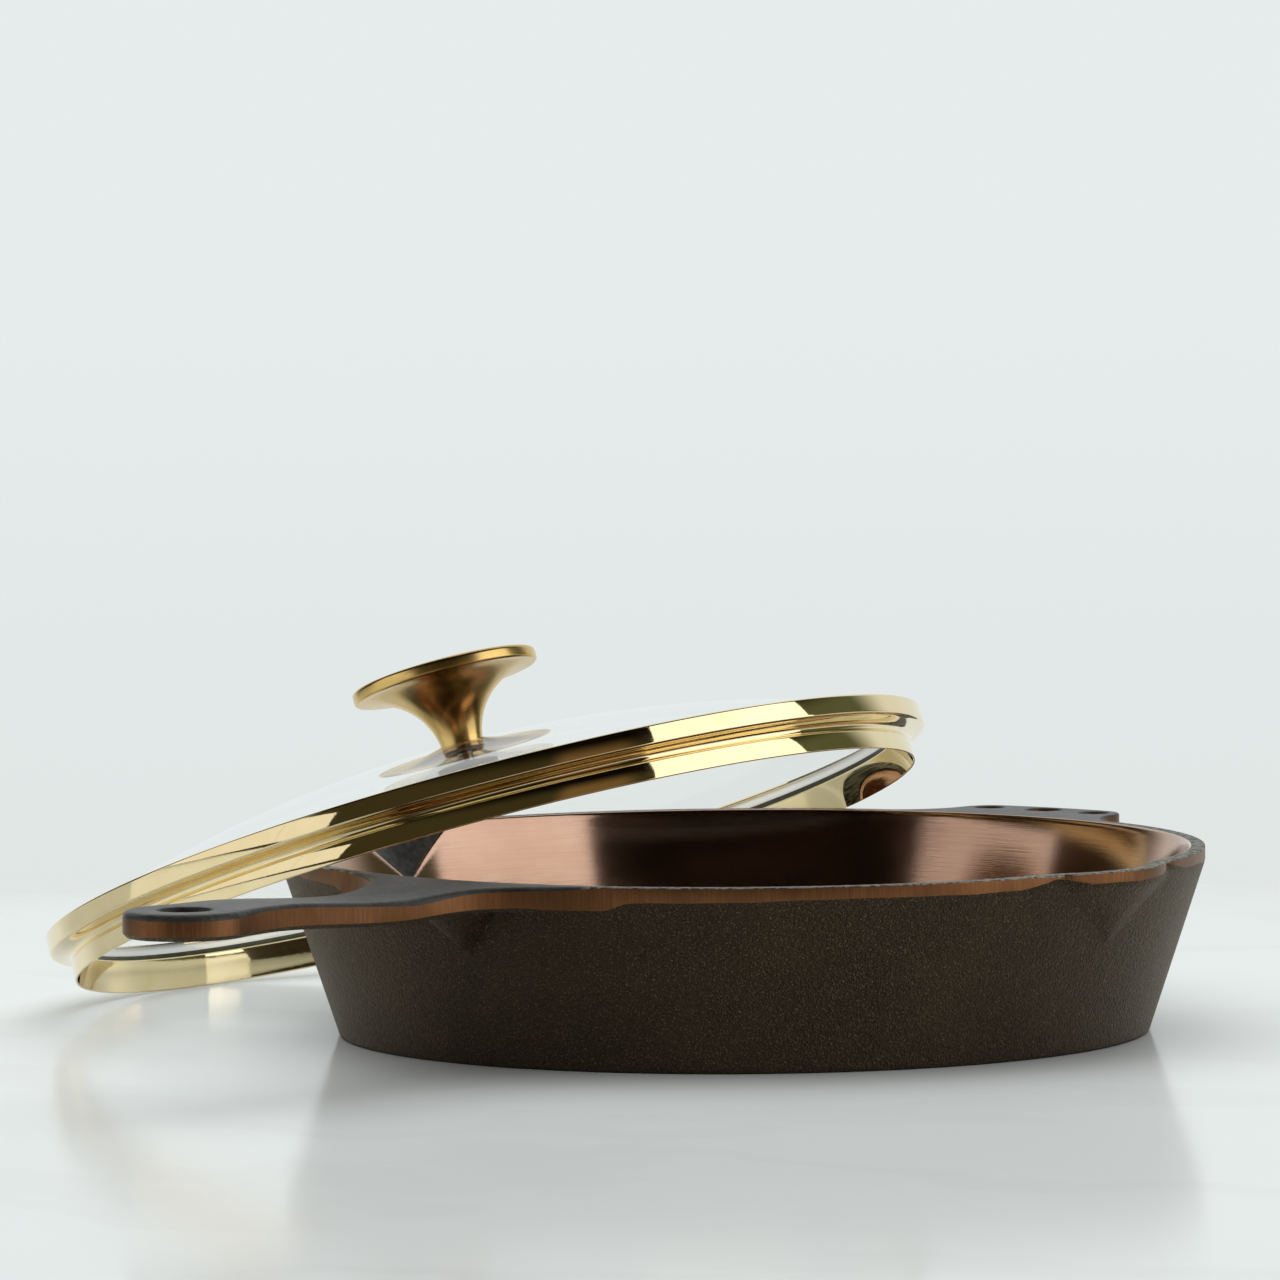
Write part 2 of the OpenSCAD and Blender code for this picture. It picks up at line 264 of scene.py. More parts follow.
class Skin:
    """Points and faces of one mesh, and a number kept for every point."""

    def __init__(self):
        self.points = []
        self.marks = []
        self.faces = []
        self.slots = []

    def loop(self, points, marks=None):
        start = len(self.points)
        self.points.extend([tuple(p) for p in points])
        self.marks.extend(marks if marks is not None else [0.0] * len(points))
        return list(range(start, len(self.points)))

    def bridge(self, first, second, slot=0):
        """Quads between two closed loops with as many points each."""
        for i in range(len(first)):
            j = (i + 1) % len(first)
            self.faces.append((first[i], first[j], second[j], second[i]))
            self.slots.append(slot)

    def fan(self, ring, tip, slot=0):
        """Triangles from a closed loop to one point."""
        for i in range(len(ring)):
            self.faces.append((ring[i], ring[(i + 1) % len(ring)], tip))
            self.slots.append(slot)

    def fill(self, outer, inner, height, spacing, slot=0, flip=False):
        """Triangles between the loop outer and the loops inner, with points every spacing."""
        loops = [outer] + inner
        ids = [i for ring in loops for i in ring]
        edges = []
        for ring in loops:
            start = len(edges)
            edges += [(start + i, start + (i + 1) % len(ring)) for i in range(len(ring))]
        rings = [np.array([self.points[i][:2] for i in ring]) for ring in loops]
        border = np.concatenate(rings)
        low, high = rings[0].min(0), rings[0].max(0)
        xs = np.arange(low[0] + spacing / 2, high[0], spacing)
        ys = np.arange(low[1] + spacing / 2, high[1], spacing)
        grid = np.array([(x, y) for x in xs for y in ys])
        grid = grid[between(rings, grid)]
        gap = np.sqrt(((grid[:, None] - border[None]) ** 2).sum(2)).min(1)
        grid = grid[gap > spacing * BORDER_CLEAR]
        ids += self.loop([(x, y, height(x, y)) for x, y in grid])
        flat = [Vector(p) for p in np.concatenate([border, grid])]
        places, _, faces, sources = delaunay_2d_cdt(flat, edges, [], 0, FILL_EXACT)[:4]
        middles = np.array([np.mean([places[i] for i in face], axis=0) for face in faces])
        for face, wanted in zip(faces, between(rings, middles)):
            if wanted:
                corners = [ids[sources[i][0]] for i in face]
                self.faces.append(tuple(reversed(corners)) if flip else tuple(corners))
                self.slots.append(slot)

    def build(self, name, body, sharp=35, mark=None):
        mesh = bpy.data.meshes.new(name)
        mesh.from_pydata(self.points, [], self.faces)
        mesh.polygons.foreach_set("material_index", self.slots)
        mesh.polygons.foreach_set("use_smooth", [True] * len(self.faces))
        if mark:
            mesh.attributes.new(mark, "FLOAT", "POINT").data.foreach_set("value", self.marks)
        piece = bpy.data.objects.new(name, mesh)
        bpy.context.scene.collection.objects.link(piece)
        weld(mesh)
        mesh.set_sharp_from_angle(angle=math.radians(sharp))
        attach(piece, body)
        print(name, len(mesh.vertices), "points,", len(mesh.polygons), "faces")
        return piece


def weld(mesh):
    """Joins points that coincide and turns every face outwards."""
    work = bmesh.new()
    work.from_mesh(mesh)
    bmesh.ops.remove_doubles(work, verts=work.verts, dist=WELD_GAP)
    bmesh.ops.dissolve_degenerate(work, edges=work.edges, dist=SHORT_EDGE)
    bmesh.ops.recalc_face_normals(work, faces=work.faces)
    open_edges = sum(1 for e in work.edges if len(e.link_faces) != 2)
    work.to_mesh(mesh)
    work.free()
    print(mesh.name, "open or shared edges:", open_edges)


def inside(ring, points):
    """Which of points lie in the polygon ring, by counting crossings."""
    x, y = points[:, 0][:, None], points[:, 1][:, None]
    ax, ay = ring[:, 0][None], ring[:, 1][None]
    bx, by = np.roll(ring, -1, 0)[:, 0][None], np.roll(ring, -1, 0)[:, 1][None]
    across = (ay > y) != (by > y)
    with np.errstate(divide="ignore", invalid="ignore"):
        where = ax + (y - ay) * (bx - ax) / (by - ay)
    return ((across & (x < where)).sum(1) % 2) == 1


def between(rings, points):
    """Which of points lie in the first polygon and in none of the others."""
    keep = inside(rings[0], points)
    for ring in rings[1:]:
        keep &= ~inside(ring, points)
    return keep


def arc(cx, cy, r, start, end, count):
    """Points on an arc, its angles in degrees."""
    turn = np.radians(np.linspace(start, end, count))
    return np.stack([cx + r * np.cos(turn), cy + r * np.sin(turn)], 1)


def ease(t):
    """0 below 0, 1 above 1, and a smooth ramp between them."""
    t = np.clip(t, 0, 1)
    return t * t * (3 - 2 * t)


def resample(line, spacing):
    """The same open line with points at an even spacing."""
    length = np.concatenate([[0], np.cumsum(np.linalg.norm(np.diff(line, axis=0), axis=1))])
    count = max(int(round(length[-1] / spacing)), 2)
    at = np.linspace(0, length[-1], count + 1)
    return np.stack([np.interp(at, length, line[:, i]) for i in range(2)], 1)


def soften(line, rounds):
    """Rounds the kinks of an open line and keeps its ends."""
    line = line.copy()
    for _ in range(rounds):
        line[1:-1] = (line[:-2] + 2 * line[1:-1] + line[2:]) / 4
    return line


print("mesh helpers ready")

# %% [markdown]
# ## The casting: its outline from above
# Seen from above, rim, spouts and handles are one closed line, because a grinder runs along
# all of it and leaves the bright band. The rim is a circle with a lip at each spout, and a
# small pinch where each lip starts. The handles leave the rim on flares that touch it
# smoothly. Modelling the line first keeps the blend between rim and handle free of seams.

# %% Outline of the casting
RIM_WALL = 4.5 * MM
SPOUT_R = 43.5 * MM
SPOUT_FOOT_Z = 31.6 * MM
BAND_H = 4.0 * MM
BASE_R = 115.8 * MM
FLARE_R = 45 * MM
ROOT_HALF = 14 * MM
WAIST_HALF = 13 * MM
END_R = 16.8 * MM
HOLE_AT = HANDLE_END - END_R
# The handle is narrowest between these two distances before its hanging hole.
WAIST_FROM = 50 * MM
WAIST_TO = 27 * MM
TAB_HALF = 27.5 * MM
TAB_FLARE_R = 22 * MM
TAB_CORNER_R = 10 * MM
SPACING = 1.2 * MM
FINE = 0.6 * MM
# Softening a line this many times rounds its kinks, and pulls a tight end in a little.
HANDLE_SOFT = 60
TAB_SOFT = 12
END_PULL = 0.25 * MM
# Turn from the spout's middle to the pinch at each end of its lip, and how deep that is.
PINCH_TURN = math.radians(11.6)
PINCH_DEEP = 0.9 * MM
PINCH_WIDE = math.radians(1.1)


def spout_turn(theta):
    """How far a direction is from the nearer spout, which point along +Y and -Y."""
    return np.abs(np.abs(np.arctan2(np.sin(theta), np.cos(theta))) - math.pi / 2)


def circle_reach(theta_off, centre, radius):
    """How far a circle on a spoke reaches in a direction theta_off from the spoke."""
    left = radius ** 2 - (centre * np.sin(theta_off)) ** 2
    return np.where(left > 0, centre * np.cos(theta_off) + np.sqrt(np.maximum(left, 0)), 0)


def soft_max(a, b, blend):
    """The larger of two values, with their crossing rounded over blend."""
    t = np.clip(0.5 + 0.5 * (a - b) / blend, 0, 1)
    return b + (a - b) * t + blend * t * (1 - t)


def rim_reach(theta, blend=0.35 * MM):
    """Radius of the rim's outer edge."""
    lip = circle_reach(spout_turn(theta), RIM_R + SPOUT_REACH - SPOUT_R, SPOUT_R)
    pinch = PINCH_DEEP * np.exp(-((spout_turn(theta) - PINCH_TURN) / PINCH_WIDE) ** 2)
    return soft_max(lip, RIM_R, blend) - pinch


def handle_side():
    """The long handle's outline on its +Y side, from the rim to the middle of its end."""
    flare_y = ROOT_HALF + FLARE_R
    flare_x = math.sqrt((RIM_R + FLARE_R) ** 2 - flare_y ** 2)
    touch = math.degrees(math.atan2(-flare_y, -flare_x))
    waist = [[HOLE_AT - WAIST_FROM, WAIST_HALF], [HOLE_AT - WAIST_TO, WAIST_HALF]]
    line = np.concatenate([
        arc(flare_x, flare_y, FLARE_R, touch, -90, 40),
        waist,
        arc(HOLE_AT, 0, END_R + END_PULL, 122, 0, 40),
    ])
    line = soften(resample(line, FINE), HANDLE_SOFT)
    line[-1, 1] = 0
    return resample(line, SPACING)


def tab_side():
    """The helper handle's outline on one side, from the rim to its middle, along +X."""
    flare_y = TAB_HALF + TAB_FLARE_R
    flare_x = math.sqrt((RIM_R + TAB_FLARE_R) ** 2 - flare_y ** 2)
    touch = math.degrees(math.atan2(-flare_y, -flare_x))
    corner_y = TAB_HALF - TAB_CORNER_R
    corner_x = math.sqrt((TAB_END - TAB_CORNER_R) ** 2 - corner_y ** 2)
    corner = math.degrees(math.atan2(corner_y, corner_x))
    line = np.concatenate([
        arc(flare_x, flare_y, TAB_FLARE_R, touch, -90, 30),
        arc(corner_x, corner_y, TAB_CORNER_R, 90, corner, 20),
        arc(0, 0, TAB_END, corner * 0.9, 0, 12),
    ])
    return resample(soften(resample(line, FINE), TAB_SOFT), SPACING)


print("half lines:", len(handle_side()), "and", len(tab_side()), "points")

# %% Close the outline


def both_sides(half):
    """A whole outline, counter-clockwise, from the half on its +Y side."""
    other = half[::-1][1:] * np.array([1, -1])
    return np.concatenate([half, other])[::-1]


handle_line = both_sides(handle_side())
tab_line = -both_sides(tab_side())
HANDLE_TURN = math.atan2(handle_line[-1, 1], handle_line[-1, 0])
TAB_TURN = abs(math.atan2(-tab_line[0, 1], -tab_line[0, 0]))


def rim_line(start, end):
    """The rim's outline between two directions, without its ends."""
    count = int(round((end - start) * RIM_R / SPACING))
    theta = np.linspace(start, end, count + 1)[1:-1]
    reach = rim_reach(theta)
    return np.stack([reach * np.cos(theta), reach * np.sin(theta)], 1)


upper_rim = rim_line(HANDLE_TURN, math.pi - TAB_TURN)
lower_rim = rim_line(math.pi + TAB_TURN, 2 * math.pi - HANDLE_TURN)
outline = np.concatenate([handle_line, upper_rim, tab_line, lower_rim])
# Where each stretch of the outline ends: long handle, rim, helper handle, rim.
HANDLE_STOP, UPPER_STOP, TAB_STOP = np.cumsum([len(handle_line), len(upper_rim), len(tab_line)])
on_handle = np.arange(len(outline)) < HANDLE_STOP
on_tab = (np.arange(len(outline)) >= UPPER_STOP) & (np.arange(len(outline)) < TAB_STOP)
on_grip = on_handle | on_tab
print("outline of", len(outline), "points; handle meets rim at", round(math.degrees(HANDLE_TURN), 1))

# %% [markdown]
# ## The casting: heights and walls
# The handle is level with the rim at its root, dips, and rises to a thicker end. The outer
# wall is a cone, pushed out by the two spouts and by a gusset under the handle. Each push is
# a cone with its point on the wall, and the larger radius wins, with a small soft blend.

# %% Heights and walls of the casting
DIP = 1.4 * MM
END_RISE = 1.4 * MM
ROOT_T = 6.8 * MM
DIP_T = 6.6 * MM
END_T = 7.2 * MM
TAB_T = 5.6 * MM
GUSSET_R = 11.7 * MM
GUSSET_FOOT_Z = 32 * MM
LEVEL_TO = RIM_R + 12 * MM
DIP_AT = RIM_R + 38 * MM
FLAT_FROM = HOLE_AT - 1.2 * END_R
FLOOR_T = 4.8 * MM
FLOOR_CORNER_R = 9 * MM
FOOT_WALL = 5.8 * MM
SPOUT_WALL = 4.5 * MM
# How softly two walls that cross run into each other.
LIP_BLEND = 0.5 * MM
GUSSET_BLEND = 0.8 * MM
GROOVE_BLEND = 0.12 * MM


def top_height(x, y):
    """Height of the casting's top face."""
    if x < RIM_R:
        return PAN_H
    down = DIP * ease((x - LEVEL_TO) / (DIP_AT - LEVEL_TO))
    up = (DIP + END_RISE) * ease((x - DIP_AT) / (FLAT_FROM - DIP_AT))
    return float(PAN_H - down + up)


def under_height(x, y):
    """Height of the handles' lower face."""
    if x < 0:
        return PAN_H - TAB_T
    thick = ROOT_T + (DIP_T - ROOT_T) * ease((x - LEVEL_TO) / (DIP_AT - LEVEL_TO))
    thick += (END_T - DIP_T) * ease((x - DIP_AT) / (FLAT_FROM - DIP_AT))
    return top_height(x, y) - float(thick)


def pushed_out(theta_off, z, foot_r, foot_z, top_z, centre, radius):
    """Reach of a cone with its point on the wall at foot_z and a circle at top_z."""
    t = np.clip((z - foot_z) / (top_z - foot_z), 0, 1)
    return np.where(t > 0, circle_reach(theta_off, foot_r + (centre - foot_r) * t, radius * t), 0)


def wall_radius(z):
    """Radius of the plain outer cone."""
    return BASE_R + (RIM_R - BASE_R) * z / (PAN_H - BAND_H)


def outer_reach(theta, z):
    """Radius of the outer wall."""
    cone = wall_radius(z) + 0 * theta
    lip = pushed_out(spout_turn(theta), z, wall_radius(SPOUT_FOOT_Z), SPOUT_FOOT_Z,
                     PAN_H - BAND_H, RIM_R + SPOUT_REACH - SPOUT_R, SPOUT_R)
    handle_off = np.abs(np.arctan2(np.sin(theta), np.cos(theta)))
    handle_off = np.minimum(handle_off, math.pi / 4)
    gusset = pushed_out(handle_off, z, wall_radius(GUSSET_FOOT_Z), GUSSET_FOOT_Z,
                        PAN_H - ROOT_T, RIM_R - 0.2 * MM, GUSSET_R)
    return soft_max(soft_max(cone, lip, LIP_BLEND), gusset, GUSSET_BLEND)


INSIDE_FOOT_R = BASE_R - FOOT_WALL
IN_SLOPE = (RIM_R - RIM_WALL - INSIDE_FOOT_R) / PAN_H


def inner_reach(theta, z):
    """Radius of the inner wall, and how deep the spout's groove is cut there."""
    cone = INSIDE_FOOT_R + IN_SLOPE * z + 0 * theta
    foot_z = SPOUT_FOOT_Z + SPOUT_WALL
    foot_r = INSIDE_FOOT_R + IN_SLOPE * foot_z
    lip = pushed_out(spout_turn(theta), z, foot_r, foot_z, PAN_H,
                     RIM_R + SPOUT_REACH - SPOUT_R, SPOUT_R - SPOUT_WALL)
    return soft_max(cone, lip, GROOVE_BLEND), lip - cone


print("handle underside at its dip:", round(under_height(DIP_AT, 0) / MM, 2), "mm")

# %% [markdown]
# ## The casting: its rounded edge
# The skin starts at the top face's edge and goes outwards. A bevel modifier would give every
# edge one radius. Here the radius is worked out point by point: it grows where the handle
# drops away from its flare, which makes the bright shoulder there, it is tiny on the ground
# rim, and it opens a little at the nicks that the grinder left beside each spout.

# %% Radius of the upper edge
CAST, GROUND, SATIN, POLISHED = 0, 1, 2, 3
HANDLE_ROOT_X = RIM_R * math.cos(HANDLE_TURN)
HANDLE_EDGE_R = 1.2 * MM
SHOULDER = 0.8 * MM
SHOULDER_AT = 163 * MM
SHOULDER_WIDE = 12 * MM
END_EXTRA = 0.6 * MM
TAB_EDGE_R = 0.7 * MM
RIM_EDGE_R = 0.25 * MM
NICK_EDGE_R = 0.45 * MM
# The radius starts at a share of its size where the handle leaves the rim, and grows over a
# length; the end's extra grows over another.
ROOT_SHARE = 0.35
ROOT_OVER = 10 * MM
END_OVER = 20 * MM


def edge_radius(x):
    """Radius of the rounded upper edge, along the long handle."""
    shoulder = SHOULDER * np.exp(-((x - SHOULDER_AT) / SHOULDER_WIDE) ** 2)
    end = END_EXTRA * ease((x - FLAT_FROM) / END_OVER)
    grown = ease((x - HANDLE_ROOT_X) / ROOT_OVER + ROOT_SHARE)
    return (HANDLE_EDGE_R + shoulder + end) * grown


outline_turn = np.arctan2(outline[:, 1], outline[:, 0])
near_pinch = np.exp(-((spout_turn(outline_turn) - PINCH_TURN) / (1.6 * PINCH_WIDE)) ** 2)
round_r = RIM_EDGE_R + NICK_EDGE_R * near_pinch
round_r = np.where(on_handle, edge_radius(outline[:, 0]), round_r)
round_r[on_tab] = TAB_EDGE_R
print("edge radius from", round(round_r.min() / MM, 2), "to", round(round_r.max() / MM, 2), "mm")

# %% [markdown]
# ## The casting: the ground band
# Below the edge runs the band that the grinder cut through the seasoning. It was held by
# hand, so the band's depth wanders: deep at the handles, almost nothing at the pinches. A
# short table of depths does that better than a formula, with a slow wave on top of it.

# %% Depth of the band
# Degrees from the long handle, and the depth there in millimetres.
BAND_DEEP = [
    (0, 6.6), (20.3, 6.5), (22.9, 4.3), (30, 4.0), (56, 3.4), (66, 3.7),
    (72.5, 3.3), (78.6, 0.9), (83, 2.8), (90, 3.2), (97, 2.8), (101.4, 0.9),
    (107.5, 3.3), (120, 3.6), (157, 4.0), (160, 5.6), (180, 5.6),
]
BAND_WAVE = 0.12 * MM


def wavy(theta, size):
    """A slow unevenness round the pan, the same on every run."""
    waves = ((7, 1.3, 1.0), (17, 0.4, 0.7), (41, 2.1, 0.5))
    return size * sum(share * np.sin(count * theta + start) for count, start, share in waves)


def band_deep(theta):
    """Depth of the band, with the table's corners a little rounded."""
    turn = np.degrees(np.abs(np.arctan2(np.sin(theta), np.cos(theta))))
    degrees, deep = np.array(BAND_DEEP).T
    around = [np.interp(turn + shift, degrees, deep) for shift in (-0.6, -0.2, 0.2, 0.6)]
    return np.mean(around, axis=0) * MM


band_low = PAN_H - band_deep(outline_turn) + wavy(outline_turn, BAND_WAVE)
print("band reaches down to", round(band_low.min() / MM, 1), "mm")

# %% [markdown]
# ## The casting: edge and sides
# Each loop of the skin is the outline, moved in along its own outward direction and down.
# Quads between two loops carry the number of their finish: satin edge, ground side, and raw
# cast iron below.

# %% Skin the edge and the sides
BEVEL_STEPS = 5
CHAMFER = 1.1 * MM
LEAVES_OVER = 8 * MM
following = np.roll(outline, -1, 0) - np.roll(outline, 1, 0)
following /= np.linalg.norm(following, axis=1)[:, None]
outward = np.stack([following[:, 1], -following[:, 0]], 1)
top_z = np.array([top_height(x, y) for x, y in outline])
under_z = np.array([under_height(x, y) for x, y in outline])

# How far along a handle each outline point is, from 0 where it leaves the rim.
off_rim = ease((np.linalg.norm(outline, axis=1) - RIM_R) / LEAVES_OVER)
low_z = np.where(on_grip, band_low + (under_z - band_low) * off_rim, band_low)
chamfer = np.where(on_grip, CHAMFER * off_rim, 0.0)


def quarter(step, steps):
    """How far in and how far down a rounded edge is, as shares of its radius."""
    turn = math.pi / 2 * step / steps
    return 1 - math.sin(turn), 1 - math.cos(turn)


skin = Skin()
edge_loops = []
for k in range(BEVEL_STEPS + 1):
    move_in, move_down = quarter(k, BEVEL_STEPS)
    flat = outline - outward * (round_r * move_in)[:, None]
    edge_loops.append(skin.loop(np.column_stack([flat, top_z - round_r * move_down])))
for upper, lower in zip(edge_loops, edge_loops[1:]):
    skin.bridge(upper, lower, SATIN)
side_low = skin.loop(np.column_stack([outline, low_z + chamfer]))
skin.bridge(edge_loops[-1], side_low, GROUND)
flat = outline - outward * chamfer[:, None]
under_loop = skin.loop(np.column_stack([flat, low_z]))
skin.bridge(side_low, under_loop, CAST)
print("skin so far:", len(skin.points), "points,", len(skin.faces), "faces")

# %% [markdown]
# ## The casting: holes in the handles
# The long handle hangs by one hole and the helper handle has a row of three. Each is a stack
# of rings with a rounded lip, wider on top than below. The bottom rings are kept per handle,
# because the handle's underside is filled round them.

# %% Holes
HANG_HOLE_R = 7.25 * MM
TAB_SIDE_HOLE_R = 4.25 * MM
TAB_MIDDLE_HOLE_R = 5.25 * MM
TAB_HOLE_OUT = 17 * MM
TAB_HOLE_PITCH = 19 * MM
HOLE_LIP = 1.0 * MM
HOLE_STEPS = 64
tab_ring = RIM_R + TAB_HOLE_OUT
tab_step = 2 * math.asin(TAB_HOLE_PITCH / 2 / tab_ring)


def hole_rings(x, y, r):
    """A hole's rings, from its lip on top to its smaller lip below."""
    rings = []
    for k in range(BEVEL_STEPS + 1):
        move_out, move_down = quarter(k, BEVEL_STEPS)
        ring = arc(x, y, r + HOLE_LIP * move_out, 0, 360, HOLE_STEPS + 1)[:-1]
        z = top_height(x, y) - HOLE_LIP * move_down
        rings.append(skin.loop(np.column_stack([ring, np.full(HOLE_STEPS, z)])))
    for k in range(3):
        move_out, move_up = quarter(2 - k, 2)
        ring = arc(x, y, r + 0.5 * HOLE_LIP * move_out, 0, 360, HOLE_STEPS + 1)[:-1]
        z = under_height(x, y) + 0.5 * HOLE_LIP * move_up
        rings.append(skin.loop(np.column_stack([ring, np.full(HOLE_STEPS, z)])))
    return rings


hang_rings = hole_rings(HOLE_AT, 0.0, HANG_HOLE_R)
for upper, lower in zip(hang_rings, hang_rings[1:]):
    skin.bridge(upper, lower, SATIN)
top_holes = [hang_rings[0]]
tab_bottoms = []
for i, r in ((-1, TAB_SIDE_HOLE_R), (0, TAB_MIDDLE_HOLE_R), (1, TAB_SIDE_HOLE_R)):
    rings = hole_rings(-tab_ring * math.cos(i * tab_step), tab_ring * math.sin(i * tab_step), r)
    for k, (upper, lower) in enumerate(zip(rings, rings[1:])):
        skin.bridge(upper, lower, GROUND if k > 2 else SATIN)
    top_holes.append(rings[0])
    tab_bottoms.append(rings[-1])
print("holes:", len(top_holes))

# %% [markdown]
# ## The casting: where the handles join the wall
# Under a handle, the outer wall needs a top loop of its own. It runs from one side of the
# handle to the other, and the handle's underside is filled between that loop, the outline
# and the holes.

# %% Undersides of the handles
FILL_SPACING = 3 * MM
RISE_OVER = math.radians(4)
RISE_SHARE = 0.15


def underside(grip, turn, centre, thick, holes):
    """Fills a handle's underside; returns the wall's top loop there, with both its ends."""
    count = int(round(2 * turn * RIM_R / SPACING))
    theta = np.linspace(centre - turn, centre + turn, count + 1)[1:-1]
    rise = ease(np.minimum(theta - theta[0], theta[-1] - theta) / RISE_OVER + RISE_SHARE)
    edge = band_deep(theta)
    z = PAN_H - edge + (edge - thick) * rise
    reach = outer_reach(theta, z)
    loop = skin.loop(np.stack([reach * np.cos(theta), reach * np.sin(theta), z], 1))
    grip_loop = [under_loop[i] for i in np.flatnonzero(grip)]
    skin.fill(grip_loop + loop[::-1], holes, under_height, FILL_SPACING, CAST, flip=True)
    return grip_loop[0], loop, grip_loop[-1]


handle_ends = underside(on_handle, HANDLE_TURN, 0, ROOT_T, [hang_rings[-1]])
tab_ends = underside(on_tab, TAB_TURN, math.pi, TAB_T, tab_bottoms)
handle_first, handle_arc, handle_last = handle_ends
tab_first, tab_arc, tab_last = tab_ends
print("undersides filled:", len(skin.faces), "faces")

# %% [markdown]
# ## The casting: outer wall and base
# Rows of quads go down from that top loop to the foot, each at the radius that the wall
# formula gives, so spouts and gusset grow out of the cone with no seam.

# %% Outer wall and base
WALL_ROWS = 34
FOOT_BREAK = 0.8 * MM
wall_top = [handle_last] + under_loop[HANDLE_STOP:UPPER_STOP]
wall_top += [tab_first] + tab_arc + [tab_last] + under_loop[TAB_STOP:]
wall_top += [handle_first] + handle_arc
wall_theta = np.array([math.atan2(skin.points[i][1], skin.points[i][0]) for i in wall_top])
wall_z = np.array([skin.points[i][2] for i in wall_top])


def circle(r, z, theta):
    """A level loop of points at the directions theta."""
    return [(r * math.cos(t), r * math.sin(t), z) for t in theta]


above = wall_top
for k in range(1, WALL_ROWS + 1):
    z = wall_z + (FOOT_BREAK - wall_z) * k / WALL_ROWS
    reach = outer_reach(wall_theta, z)
    lower = skin.loop(np.stack([reach * np.cos(wall_theta), reach * np.sin(wall_theta), z], 1))
    skin.bridge(above, lower, CAST)
    above = lower
base_rows = [(BASE_R - 0.25 * MM, 0.25 * MM), (BASE_R - FOOT_BREAK, 0)]
base_rows += [(BASE_R * 0.6, 0), (BASE_R * 0.2, 0)]
for r, z in base_rows:
    lower = skin.loop(circle(r, z, wall_theta))
    skin.bridge(above, lower, CAST)
    above = lower
skin.fan(above, skin.loop([(0, 0, 0)])[0], CAST)
print("outer wall of", len(wall_top), "columns and", WALL_ROWS, "rows")

# %% [markdown]
# ## The casting: inside and floor
# The inside was turned on a lathe, except in the two spouts, which stay raw. How deep a
# spout is cut at each point is kept as a number called groove, and the finish uses it later
# to change from polished to raw. On the floor it is set well below zero: no spout.

# %% Inner wall, corner and floor
INNER_COUNT = 900
INNER_ROWS = 30
MOUTH_ROUND = 0.5 * MM
MOUTH_STEPS = 3
CORNER_STEPS = 8
NO_GROOVE = [-9.0] * INNER_COUNT
inner_theta = np.linspace(0, 2 * math.pi, INNER_COUNT + 1)[:-1]
corner_top = FLOOR_T + FLOOR_CORNER_R
corner_r = INSIDE_FOOT_R + IN_SLOPE * corner_top - FLOOR_CORNER_R


def inner_loop(z, out=0.0):
    """A loop on the inner wall at height z, moved out by a length."""
    reach, deep = inner_reach(inner_theta, z)
    reach = reach + out
    ring = np.stack([reach * np.cos(inner_theta), reach * np.sin(inner_theta), 0 * reach + z], 1)
    return skin.loop(ring, list(deep / MM))


inner_loops = []
for k in range(MOUTH_STEPS + 1):
    move_out, move_down = quarter(k, MOUTH_STEPS)
    inner_loops.append(inner_loop(PAN_H - MOUTH_ROUND * move_down, MOUTH_ROUND * move_out))
mouth_loop = inner_loops[0]
wall_start = PAN_H - MOUTH_ROUND
for k in range(1, INNER_ROWS + 1):
    inner_loops.append(inner_loop(wall_start + (corner_top - wall_start) * k / INNER_ROWS))
for k in range(1, CORNER_STEPS + 1):
    turn = math.pi / 2 * k / CORNER_STEPS
    r = corner_r + FLOOR_CORNER_R * math.cos(turn)
    z = corner_top - FLOOR_CORNER_R * math.sin(turn)
    inner_loops.append(skin.loop(circle(r, z, inner_theta), NO_GROOVE))
for share in (0.8, 0.6, 0.4, 0.2, 0.05):
    inner_loops.append(skin.loop(circle(corner_r * share, FLOOR_T, inner_theta), NO_GROOVE))
for upper, lower in zip(inner_loops, inner_loops[1:]):
    skin.bridge(upper, lower, POLISHED)
skin.fan(inner_loops[-1], skin.loop([(0, 0, FLOOR_T)])[0], POLISHED)
print("inside of", len(inner_loops), "loops")

# %% [markdown]
# ## The casting: close the top
# One filled face joins the outer edge, the mouth and the holes. Then the skin is complete,
# and it stands in for the three CAD pieces that are one casting on the real pan.

# %% Top face and finished casting
skin.fill(edge_loops[0], [mouth_loop] + top_holes, top_height, FILL_SPACING, SATIN)
casting = skin.build("skillet_casting", "pan", mark="groove")
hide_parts("pan_body", "main_handle", "helper_handle")

# %% [markdown]
# ## The lid: turned shapes
# Ring, seal, glass and knob are all round about the lid's axis. A screw modifier could sweep
# them, but here each profile is swept in code, so its points go straight to where the lid
# leans. Profiles are drawn level, as (radius, height) in millimetres.

# %% Sweep a profile


def turned(name, profile, steps, node):
    """A closed profile swept round the lid's axis; it stands in for one CAD node."""
    made = Skin()
    angles = np.linspace(0, 2 * math.pi, steps + 1)[:-1]
    loops = []
    for r, z in profile:
        around = angles if r > 1e-6 else [0.0]
        spots = [Vector((r * math.cos(a), r * math.sin(a), z)) * MM for a in around]
        loops.append(made.loop([LID_PLACE @ spot for spot in spots]))
    for first, second in zip(loops, loops[1:] + loops[:1]):
        if len(first) > 1 and len(second) > 1:
            made.bridge(first, second)
            continue
        ring, tip = (first, second[0]) if len(first) > 1 else (second, first[0])
        if len(ring) > 1:
            made.fan(ring, tip)
    piece = made.build(name, "lid", sharp=30)
    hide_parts(node)
    return piece


print("ring radius:", round(RING_R / MM, 1), "mm")

